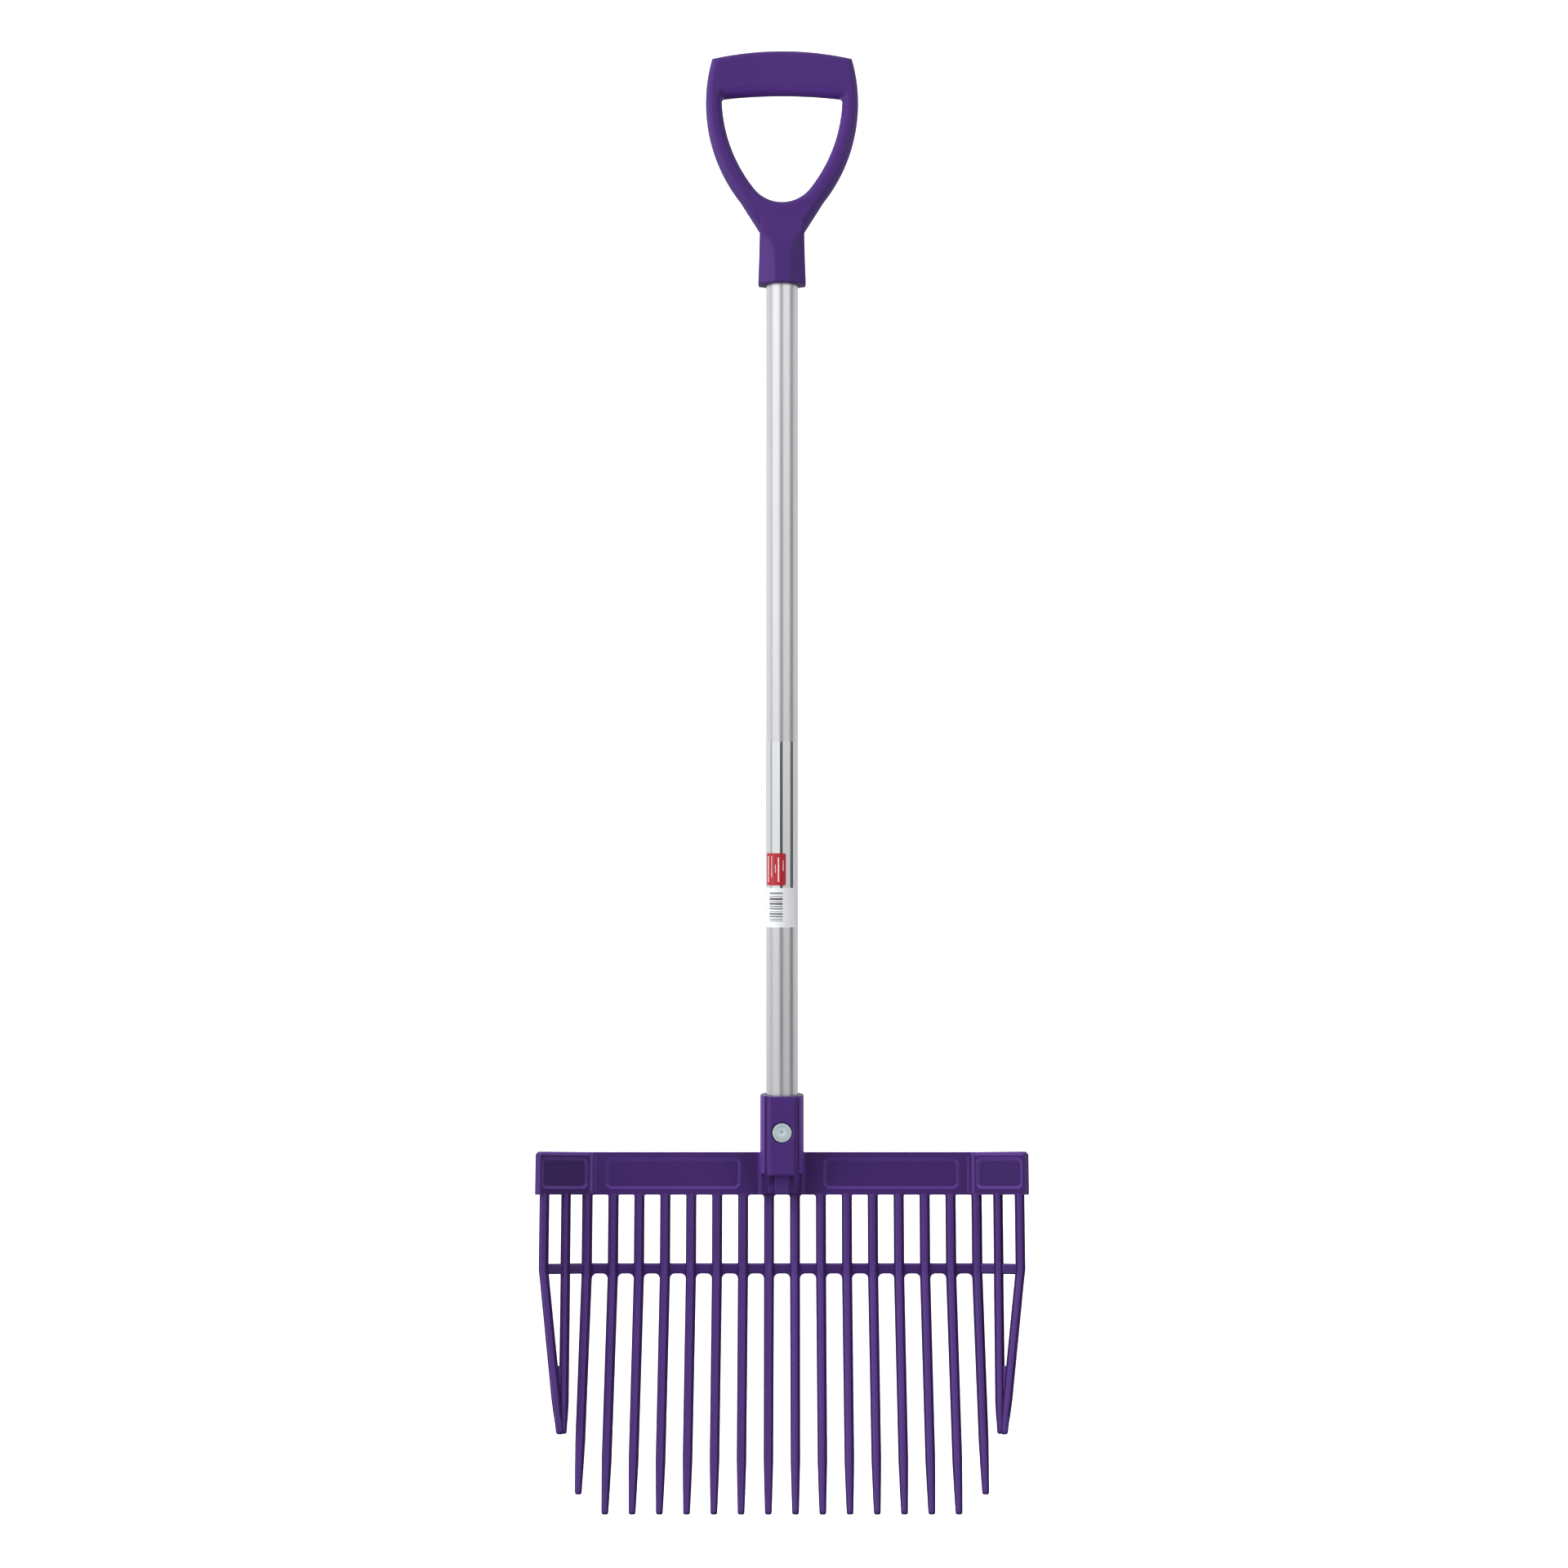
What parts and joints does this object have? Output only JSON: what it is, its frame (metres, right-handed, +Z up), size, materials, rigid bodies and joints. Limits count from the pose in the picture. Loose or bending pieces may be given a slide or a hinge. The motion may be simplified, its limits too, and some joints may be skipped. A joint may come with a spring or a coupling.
{
  "type": "bedding fork",
  "caption": "Long-handled bedding fork with a wide moulded comb of tines, cross rung, forward-folded wings, straight tube shaft and D-grip.",
  "frame": {"origin": "under the middle of the grip bar, where a peg or hook carries the hanging fork", "axes": "+Z up along the shaft towards the grip, -Y towards the hollow front of the head, +X to the right seen from the front"},
  "size_m": [0.389, 0.131, 1.1337],
  "materials": {
    "moulding": "moulded purple polypropylene, satin gloss",
    "tube": "bright drawn and anodised",
    "zinc": "bright zinc plate",
    "nylon": "natural nylon",
    "film": "clear label film",
    "paper": "coated label paper"
  },
  "bodies": {
    "root": {"fork_head": "moulding", "shaft_tube": "tube", "d_grip": "moulding", "head_bolt": "zinc", "head_nut": "zinc", "nut_locking_ring": "nylon", "grip_screw": "zinc", "label_film": "film", "paper_sticker": "paper"}
  },
  "joints": []
}
